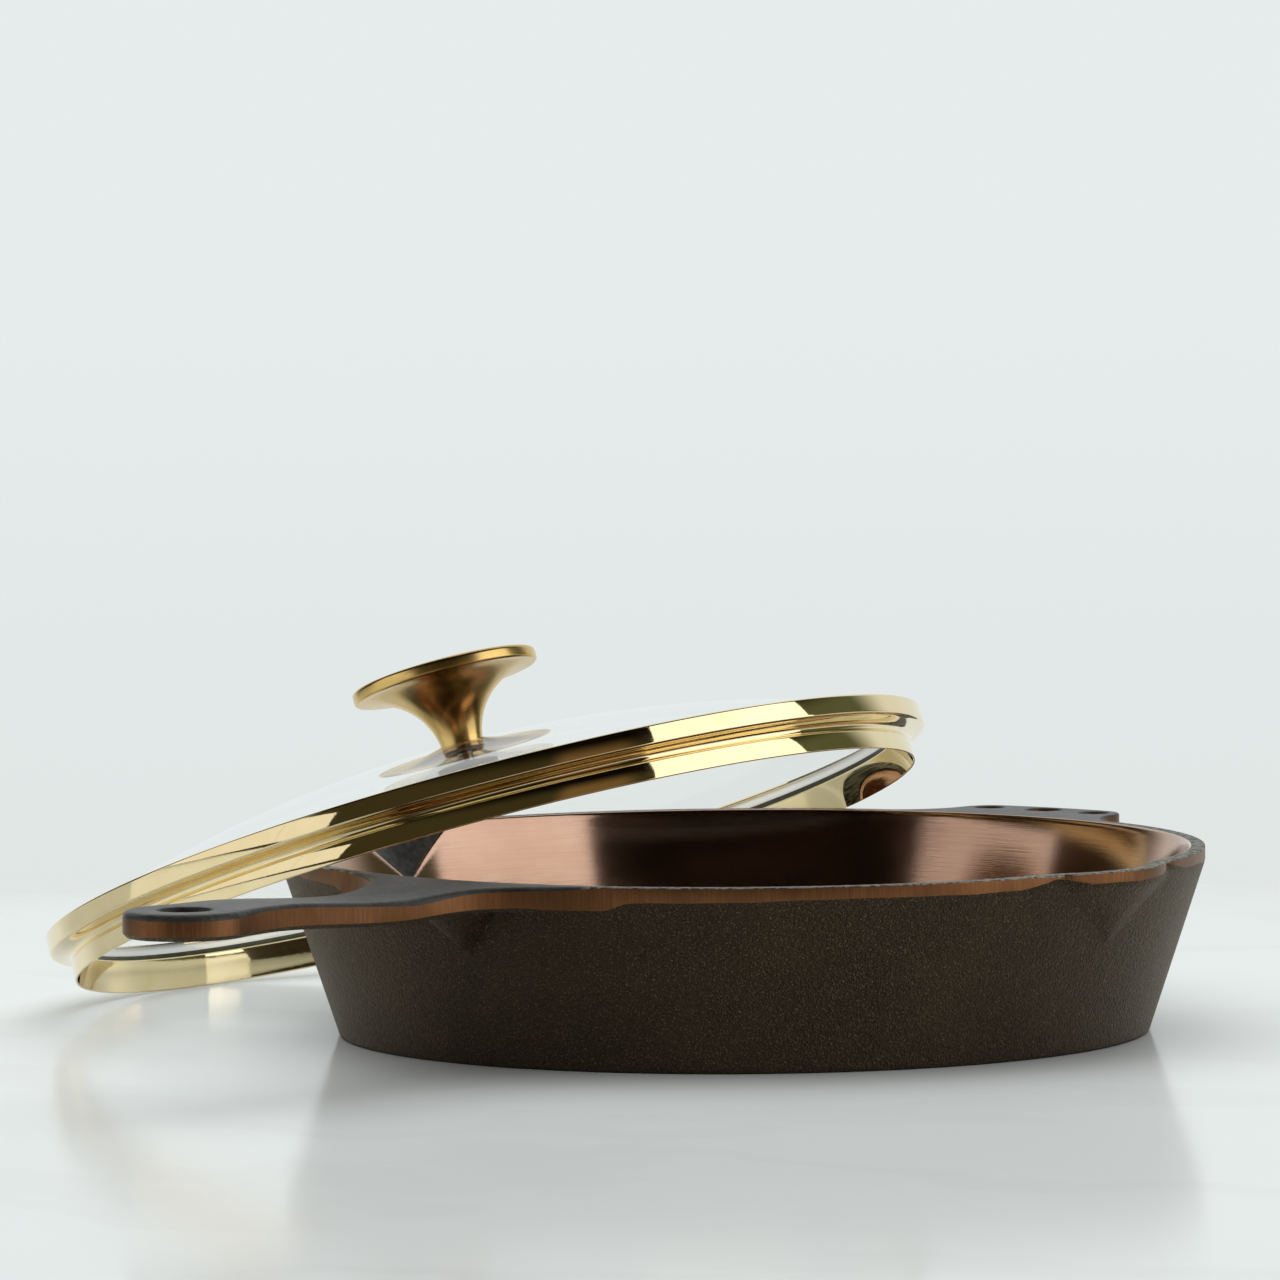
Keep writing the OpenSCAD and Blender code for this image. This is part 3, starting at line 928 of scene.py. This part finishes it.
# %% [markdown]
# ## The lid: ring and seal
# The ring is rolled from one sheet: a lip over the glass, a flat outer band, a soft groove
# and a skirt that drops into the pan. The groove is a curve with three control points, so it
# has no corner that would cut its reflections. Between ring and glass shows the edge of the
# olive seal.

# %% Ring and seal
RING_MM = RING_R / MM
ROUND_STEPS = 256


def from_ring(points):
    """Points given by their distance inwards from the ring's outer face."""
    return [[RING_MM - inwards, height] for inwards, height in points]


bend = np.linspace(0, 1, 14)[:, None]
groove_from, groove_deep, groove_to = np.array(from_ring([[1.2, 8.85], [7.2, 8.5], [6.05, 5.62]]))
groove = groove_from * (1 - bend) ** 2 + groove_deep * 2 * bend * (1 - bend) + groove_to * bend ** 2
ring_profile = np.concatenate([
    from_ring([[4.6, 14.2], [4.55, 14.5], [4.2, 14.68]]),
    arc(RING_MM - 0.6, 14.1, 0.6, 90, 0, 7),
    arc(RING_MM - 0.9, 9.8, 0.9, 0, -70, 7),
    groove,
    arc(RING_MM - 5.95, 4.9, 0.7, 90, 0, 6),
    arc(RING_MM - 5.6, 0.35, 0.35, 0, -180, 8),
    from_ring([[6.5, 2.2], [7.2, 4.6], [7.9, 6.9], [8.4, 8.9], [8.1, 9.3], [0.8, 9.35]]),
    from_ring([[0.7, 9.5], [0.7, 13.7], [1.0, 13.95], [4.3, 13.98]]),
])
ring = turned("lid_ring", ring_profile, ROUND_STEPS, "lid_rim")
seal_profile = from_ring([[7.6, 9.4], [7.7, 10.0], [7.6, 10.7], [6.8, 10.9], [3.4, 9.9], [3.4, 9.4]])
seal = turned("lid_seal", seal_profile, ROUND_STEPS, "glass_seal")

# %% [markdown]
# ## The lid: glass and knob
# The glass is a slice of a hollow sphere with a hole for the screw. The knob's side is a
# quarter of an ellipse that sweeps out from a thin neck to a wide flat disc.

# %% Glass and knob
GLASS_TOP = 36.6
GLASS_T = 3.6
GLASS_HOLE = 3.6
GLASS_EDGE = RING_MM - 3.1
LIP_R = RING_MM - 4.6
DOME_RISE = 22.6
dome_out = (LIP_R ** 2 + DOME_RISE ** 2) / (2 * DOME_RISE)
dome_mid = GLASS_TOP - dome_out
out_r = np.linspace(GLASS_HOLE, GLASS_EDGE, 60)
skins = [
    np.stack([out_r, dome_mid + np.sqrt(dome_r ** 2 - out_r ** 2)], 1)
    for dome_r in (dome_out, dome_out - GLASS_T)
]
glass_profile = np.concatenate([skins[0], skins[1][::-1]])
glass = turned("lid_dome", glass_profile, ROUND_STEPS, "lid_glass")

KNOB_R = 27.6
KNOB_STEPS = 192
NECK_R = 6.2
FLARE_H = 20.6
DISC_T = 3.8
KNOB_Z = GLASS_TOP + 0.6
disc_z = KNOB_Z + FLARE_H
disc_top = disc_z + DISC_T
flare_r = KNOB_R - 0.7
flare = np.radians(np.linspace(0, 88, 40))
flare_out = flare_r - (flare_r - NECK_R) * np.cos(flare)
flare_up = KNOB_Z + 0.3 + (FLARE_H - 0.3) * np.sin(flare)
knob_profile = np.concatenate([
    [[0, KNOB_Z], [NECK_R - 0.3, KNOB_Z], [NECK_R, KNOB_Z + 0.2]],
    np.stack([flare_out, flare_up], 1),
    arc(KNOB_R - 1.0, disc_z + 0.9, 1.0, -62, 0, 6),
    arc(KNOB_R - 1.2, disc_top - 1.2, 1.2, 0, 86, 8),
    [[20, disc_top + 0.05], [10, disc_top + 0.1], [0, disc_top + 0.12]],
])
knob = turned("lid_knob", knob_profile, KNOB_STEPS, "knob")

# %% [markdown]
# ## Finish: raw cast iron
# The iron was cast in sand, then oiled and baked dark brown. Sand leaves round grains (cells)
# and soft lumps (noise), half a millimetre to one and a half wide. The middles of the grains
# are a little paler, and pale specks on the grains are painted glints. Noise scales are bumps
# in a metre, as places are in metres.

# %% Cast iron


def sand_cast():
    f = Finish("sand cast iron")
    place = f.place()
    beads = f.cells(place, 1250)
    lumps = f.noise(place, 700, 3, 0.62)
    grain = f.noise(place, 2200, 2, 0.6)
    cloud = f.noise(place, 22, 3, 0.6)
    height = lumps * 1.2 + grain * 1.1 - beads * 0.9
    colour = f.mix(cloud.step(0.35, 0.68), (0.024, 0.0155, 0.0078), (0.038, 0.0255, 0.0135))
    colour = f.mix((1 - beads.step(0.12, 0.38)) * 0.25, colour, (0.10, 0.076, 0.043))
    # Painted glints: pale specks where the fine grain noise is high stand in for light flashing off
    # tiny facets.
    colour = f.mix(grain.step(0.58, 0.68) * 0.7, colour, (0.27, 0.205, 0.115))
    rough = 0.30 + 0.24 * lumps
    normal = f.bump(height, 1.0, 0.7 * MM)
    surface = f.principled(
        base_color=colour, metallic=0.25, roughness=rough, normal=normal,
        specular_tint=(1.0, 0.80, 0.56),
    )
    return f.finish(surface)


casting.data.materials.append(sand_cast())
print("finish:", casting.data.materials[-1].name)

# %% [markdown]
# ## Finishes: ground band and worn top
# The grinder ran along the band, so its scratches are stretched: many across, few along. The
# top of the handles is oiled and dark. The rim's top is ground bare and catches light in
# specks. One mask over the handles' area, named grip, picks between the two.

# %% Ground band and worn top
# Where the dark grip fades in: along the handles from the pan's centre, and to their sides.
GRIP_STARTS = (114 * MM, 121 * MM)
GRIP_SIDES = (38 * MM, 44 * MM)


def ground_edge():
    f = Finish("ground iron edge")
    place = f.place()
    x, y, z = f.split(place)
    lines = f.noise(f.vector(x * 3600, y * 3600, z * 90), 1, 2, 0.6)
    broad = f.noise(place, 90, 3, 0.6)
    colour = f.mix(lines.step(0.3, 0.7), (0.165, 0.070, 0.027), (0.24, 0.108, 0.045))
    colour = f.mix(broad.step(0.35, 0.7) * 0.6, colour, (0.135, 0.058, 0.023))
    rough = 0.36 + 0.14 * lines
    normal = f.bump(lines + broad * 0.8, 0.4, 0.05 * MM)
    return f.finish(f.principled(base_color=colour, metallic=0.9, roughness=rough, normal=normal))


def worn_top():
    """Dark seasoned handles; a rim that is ground bare."""
    f = Finish("seasoned iron top")
    place = f.place()
    x, y = f.split(place)[:2]
    beyond_rim = f.size(x).step(*GRIP_STARTS)
    beside_grip = f.size(y).step(*GRIP_SIDES)
    grip = beyond_rim * (1 - beside_grip)
    lumps = f.noise(place, 620, 3, 0.6)
    cloud = f.noise(place, 60, 3, 0.6)
    dark = f.mix(cloud.step(0.3, 0.7), (0.024, 0.0225, 0.021), (0.052, 0.049, 0.046))
    bare = f.mix(lumps.step(0.35, 0.65), (0.06, 0.053, 0.044), (0.44, 0.41, 0.35))
    colour = f.mix(grip, bare, dark)
    rough = 0.34 + 0.16 * lumps + (1 - grip) * 0.16
    normal = f.bump(lumps + cloud * 2, 0.9, 0.35 * MM)
    metal = 1 - grip * 0.6
    return f.finish(f.principled(base_color=colour, metallic=metal, roughness=rough, normal=normal))


for material in (ground_edge(), worn_top()):
    casting.data.materials.append(material)
    print("finish:", material.name)

# %% [markdown]
# ## Finish: turned inside
# A lathe leaves rings, so noise is laid out by angle and radius, with many more waves across
# the rings than along them. They spread reflections up and down. In the spouts the number
# kept in the mesh, groove, turns the polish into dark raw iron.

# %% Turned inside


def turned_inside():
    f = Finish("polished iron inside")
    place = f.place()
    x, y, z = f.split(place)
    radius = (x * x + y * y) ** 0.5
    angle = f.node("ShaderNodeMath", {"operation": "ARCTAN2"}, {0: y, 1: x})
    rings = f.noise(f.vector(angle * 6, radius * 1400, z * 3200), 1, 3, 0.6)
    cloud = f.noise(f.vector(angle * 4, radius * 20, z * 60), 1, 3, 0.6)
    groove = f.node("ShaderNodeAttribute", {"attribute_name": "groove"}, out="Fac")
    raw = groove.step(0.05, 0.3)
    bright = f.mix(cloud.step(0.3, 0.7), (0.46, 0.29, 0.205), (0.53, 0.345, 0.255))
    bright = f.mix(rings.step(0.35, 0.7) * 0.3, bright, (0.36, 0.22, 0.15))
    grain = f.noise(place, 500, 3, 0.6)
    dark = f.mix(grain.step(0.3, 0.7), (0.035, 0.034, 0.034), (0.08, 0.077, 0.073))
    colour = f.mix(raw, bright, dark)
    rough = 0.10 + 0.05 * cloud + raw * 0.33
    metal = 1 - raw * 0.5
    normal = f.bump(rings + cloud, 0.25, 0.05 * MM)
    return f.finish(f.principled(base_color=colour, metallic=metal, roughness=rough, normal=normal))


casting.data.materials.append(turned_inside())
print("casting finishes:", [m.name for m in casting.data.materials])

# %% [markdown]
# ## Finishes: the two golds
# The ring is mirror polished, so it is nearly all reflection, with a few faint smears. The
# knob was turned and then satin polished, which blurs its reflections and leaves hair-fine
# rings. The rings need coordinates about the lid's own leaning axis.

# %% Polished and satin gold


def lid_frame(f):
    """Coordinates about the lid's own axis, in metres."""
    holds = {0: f.place(), 1: tuple(LID_FOOT)}
    offset = f.node("ShaderNodeVectorMath", {"operation": "SUBTRACT"}, holds)
    return [f.along(offset, axis) for axis in (lid_x, lid_y, LID_UP)]


def dress(piece, material):
    """Gives a piece one material."""
    piece.data.materials.clear()
    piece.data.materials.append(material)


def mirror_brass():
    f = Finish("mirror polished gold steel")
    place = f.place()
    smear = f.noise(place, 70, 3, 0.6)
    fine = f.noise(place, 900, 2, 0.5)
    colour = f.mix(smear.step(0.3, 0.7), (0.84, 0.69, 0.39), (0.88, 0.74, 0.45))
    rough = 0.035 + 0.04 * smear.step(0.45, 0.8)
    normal = f.bump(fine + 2.0 * smear, 0.05, 0.05 * MM)
    return f.finish(f.principled(base_color=colour, metallic=1.0, roughness=rough, normal=normal))


def satin_brass():
    f = Finish("turned satin brass")
    x, y, z = lid_frame(f)
    radius = (x * x + y * y) ** 0.5
    lathe = f.noise(f.vector(radius * 2500, 0, z * 2500), 1, 2, 0.5)
    smear = f.noise(f.place(), 90, 3, 0.6)
    colour = f.mix(smear.step(0.3, 0.7), (0.68, 0.46, 0.155), (0.76, 0.54, 0.21))
    rough = 0.2 + 0.05 * lathe + 0.05 * smear
    normal = f.bump(lathe, 0.08, 0.02 * MM)
    return f.finish(f.principled(base_color=colour, metallic=1.0, roughness=rough, normal=normal))


gold = mirror_brass()
dress(ring, gold)
dress(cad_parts["metal_washer"], gold)
dress(knob, satin_brass())
print("gold finishes:", gold.name, "and", knob.data.materials[0].name)

# %% [markdown]
# ## Finish: clear glass
# A glass shader would bend light and need many samples. Here each of the dome's two skins is
# a clear film: Fresnel mixes in a mirror, more at a low angle, and light and shadow pass
# unbent. The Fresnel node swaps the index on a back face by itself, so it is swapped before
# as well, and both faces act as air to glass. Seen from below the film mirrors less, so that
# the lid's dark inside stays clear, and it is frosted where it meets the seal.

# %% Clear glass
GLASS_IOR = 1.5
FROST_FROM = 119 * MM
FROST_TO = 124 * MM
LESS_BELOW = 0.8
MOST_FROST = 0.85
FROST_TINT = (0.86, 0.89, 0.87)


def clear_glass():
    f = Finish("clear tempered glass")
    back = f.node("ShaderNodeNewGeometry", out="Backfacing")
    ior = GLASS_IOR + back * (1 / GLASS_IOR - GLASS_IOR)
    gloss = f.node("ShaderNodeFresnel", sockets={"IOR": ior})
    x, y = lid_frame(f)[:2]
    edge = ((x * x + y * y) ** 0.5).step(FROST_FROM, FROST_TO)
    facing = f.node("ShaderNodeNewGeometry", out="Normal")
    below = f.along(facing, -LID_UP).step(0.0, 0.3)
    gloss = gloss * (1 - LESS_BELOW * below)
    frosted = edge * below * (1 - back) * MOST_FROST
    grey = f.principled(base_color=FROST_TINT, roughness=0.5)
    lit = f.node("ShaderNodeBsdfTranslucent", sockets={"Color": (*FROST_TINT, 1)})
    smear = f.noise(f.place(), 40, 3, 0.6)
    rough = 0.005 + 0.006 * smear
    mirror = f.principled(base_color=(0.99, 1.0, 0.995), metallic=1.0, roughness=rough)
    through = f.node("ShaderNodeBsdfTransparent", sockets={"Color": (0.997, 0.999, 0.998, 1)})
    clear = f.blend(gloss, through, mirror)
    return f.finish(f.blend(frosted, clear, f.blend(0.75, grey, lit)))


dress(glass, clear_glass())
print("glass finish:", glass.data.materials[0].name)

# %% [markdown]
# ## Finishes: seal, washers and screw
# Silicone and rubber are matt and a little uneven. The screw's head shows the rings of the
# lathe, like the knob, in pale steel. The screw and the washers keep their CAD shapes.

# %% Seal, washers and screw


def silicone(name, low, high, rough):
    f = Finish(name)
    grain = f.noise(f.place(), 300, 3, 0.6)
    colour = f.mix(grain.step(0.3, 0.7), low, high)
    normal = f.bump(grain, 0.2, 0.05 * MM)
    return f.finish(f.principled(base_color=colour, roughness=rough + 0.1 * grain, normal=normal))


def screw_steel():
    f = Finish("stainless screw")
    x, y, z = lid_frame(f)
    lathe = f.noise(f.vector((x * x + y * y) ** 0.5 * 3000, 0, z * 3000), 1, 2, 0.5)
    colour = f.mix(lathe.step(0.3, 0.7), (0.5, 0.49, 0.47), (0.66, 0.65, 0.62))
    return f.finish(f.principled(base_color=colour, metallic=1.0, roughness=0.22 + 0.12 * lathe))


olive = silicone("olive seal", (0.05, 0.05, 0.02), (0.09, 0.09, 0.035), 0.35)
pale = silicone("clear washer", (0.30, 0.26, 0.17), (0.38, 0.33, 0.22), 0.3)
black = silicone("black rubber", (0.02, 0.02, 0.02), (0.04, 0.04, 0.04), 0.5)
dress(seal, olive)
dress(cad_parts["top_washer"], pale)
dress(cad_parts["low_washer"], black)
dress(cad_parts["knob_screw"], screw_steel())
print("small parts finished")

# %% [markdown]
# ## The table
# The table is pale polished stone that mirrors the pan faintly, so it is one third mirror.
# It has no modelled edge: its alpha fades out half a metre behind the pan, where it is lost
# in the pale wall, and in front, so that the lid's glass doesn't mirror a bright table.

# %% Table
TABLE_EDGE = 0.42
TABLE_FRONT = -0.65
EDGE_FADE = 0.07
FRONT_FADE = 0.05
TABLE_POLISH = 0.32
TABLE_HALF = 6.0
view_flat = Vector((CAMERA_AIM.x, CAMERA_AIM.y, 0)).normalized()
view_right = view_flat.cross(Vector((0, 0, 1)))


def stone():
    f = Finish("pale polished stone")
    place = f.place()
    x, y, z = f.split(place)
    warp = f.noise(place, 2.2, 4, 0.6)
    vein = f.noise(f.vector(x + warp * 0.35, y * 0.6 + warp * 0.2, z), 3.1, 5, 0.55)
    line = 1 - ((vein - 0.5) * (vein - 0.5) * 900).step(0.0, 1.0)
    soft = f.noise(place, 1.4, 3, 0.6)
    colour = f.mix(soft.step(0.3, 0.7), (0.79, 0.825, 0.815), (0.84, 0.875, 0.865))
    colour = f.mix(line * 0.1, colour, (0.6, 0.6, 0.59))
    behind = f.along(place, view_flat)
    gone = behind.step(TABLE_EDGE - EDGE_FADE, TABLE_EDGE + EDGE_FADE)
    gone = gone + (1 - behind.step(TABLE_FRONT - FRONT_FADE, TABLE_FRONT + FRONT_FADE))
    matt = f.principled(
        base_color=colour, roughness=0.6 + 0.1 * soft, specular_ior_level=0.0, alpha=1 - gone,
    )
    polish = f.principled(
        base_color=(0.9, 0.92, 0.92), metallic=1.0, roughness=0.1 + 0.06 * soft, alpha=1 - gone,
    )
    return f.finish(f.blend(TABLE_POLISH, matt, polish))


corners = [(-TABLE_HALF, -TABLE_HALF, 0), (TABLE_HALF, -TABLE_HALF, 0)]
corners += [(TABLE_HALF, TABLE_HALF, 0), (-TABLE_HALF, TABLE_HALF, 0)]
table = bpy.data.meshes.new("table")
table.from_pydata(corners, [], [(0, 1, 2, 3)])
table_piece = bpy.data.objects.new("table", table)
bpy.context.scene.collection.objects.link(table_piece)
dress(table_piece, stone())
print("table", 2 * TABLE_HALF, "m wide, mirror share", TABLE_POLISH)

# %% [markdown]
# ## Light panels
# Polished metal shows what stands round it, so the panels are placed for their reflections.
# White panels left and right end in straight edges, and between them the side behind the
# camera is dark. That dark gap gives the polished inside its black middle and the gold its
# dark stripes. The panels light nothing but reflections; a ceiling that no metal sees gives
# the soft light from above.

# %% Lights
CEILING_Z = 2.0
CEILING_BACK = 0.1


def panel(name, turn, spread, low, high, distance, glow):
    """A white panel that stands round the pan: its middle turn degrees to the right of the
    camera, spread degrees wide, from low to high metres above the table."""
    data = bpy.data.lights.new(name, "AREA")
    data.shape = "RECTANGLE"
    data.size = 2 * distance * math.tan(math.radians(spread / 2))
    data.size_y = high - low
    data.energy = glow * math.pi * data.size * data.size_y
    lamp = bpy.data.objects.new(name, data)
    bpy.context.scene.collection.objects.link(lamp)
    out = view_right * math.sin(math.radians(turn)) - view_flat * math.cos(math.radians(turn))
    place = out * distance + Vector((0, 0, (low + high) / 2))
    lamp.matrix_world = aim_matrix(place, -out)
    lamp.visible_camera = False
    lamp.visible_diffuse = False
    print(name, round(data.size, 2), "by", round(data.size_y, 2), "m")
    return lamp


panel("right panel", 72, 52, 0.02, 1.5, 1.6, 1.5)
panel("left panel", -77, 46, 0.02, 1.1, 1.7, 0.9)
panel("low left card", -47, 14, 0.02, 0.4, 1.7, 0.9)
ceiling = panel("ceiling", 180, 90, 0.0, 4.8, 2.4, 1.25)
ceiling_place = view_flat * CEILING_BACK + Vector((0, 0, CEILING_Z))
ceiling.matrix_world = aim_matrix(ceiling_place, -Vector((0, 0, 1)))
ceiling.visible_glossy = False
ceiling.visible_diffuse = True

# %% [markdown]
# ## The studio room
# What stands between the panels is painted on the world by direction: a pale wall behind the
# pan, dim brown and olive sides, a warm patch at the right, and darkness overhead. Camera
# rays see a plain pale backdrop instead.

# %% Studio room
WALL_WHITE = (0.80, 0.84, 0.84)
LEFT_BROWN = (0.035, 0.026, 0.015)
RIGHT_OLIVE = (0.10, 0.11, 0.06)
NEAR_BROWN = (0.045, 0.038, 0.018)
WARM_PATCH = (0.17, 0.11, 0.05)
OVERHEAD = (0.004, 0.003, 0.002)
BACKDROP_LOW = (0.75, 0.79, 0.78)
BACKDROP_HIGH = (0.79, 0.84, 0.84)
world = bpy.data.worlds.new("studio")
bpy.context.scene.world = world
world.use_nodes = True


class Studio(Finish):
    """The world's own nodes, built with the same helpers."""

    def __init__(self, world):
        self.tree = world.node_tree
        self.tree.nodes.clear()


def studio_light():
    f = Studio(world)
    way = f.node("ShaderNodeTexCoord", out="Generated")
    x, y, up = f.split(way)
    level = (x * x + y * y) ** 0.5 + 0.001
    toward = f.along(way, -view_flat) / level
    aside = f.along(way, view_right) / level
    wall = (1 - toward.step(-0.75, -0.5)) * aside.step(-0.75, -0.5)
    glow = 1 - up.step(0.3, 0.5)
    side = f.mix(aside.step(-0.1, 0.3), LEFT_BROWN, RIGHT_OLIVE)
    side = f.mix(toward.step(-0.2, 0.1), side, NEAR_BROWN)
    warm = aside.step(0.30, 0.40) * (1 - aside.step(0.60, 0.70)) * toward.step(0.0, 0.1)
    side = f.mix(warm, side, WARM_PATCH)
    dim = f.mix(glow, OVERHEAD, side)
    room = f.mix(wall, dim, WALL_WHITE)
    seen = f.node("ShaderNodeLightPath", out="Is Camera Ray")
    backdrop = f.mix(up.step(-0.10, -0.02), BACKDROP_LOW, BACKDROP_HIGH)
    colour = f.mix(seen, room, backdrop)
    shine = f.node("ShaderNodeBackground", sockets={"Color": colour, "Strength": 1.0})
    f.node("ShaderNodeOutputWorld", sockets={"Surface": shine})


studio_light()
bpy.context.scene.view_settings.view_transform = "Standard"
print("studio ready")
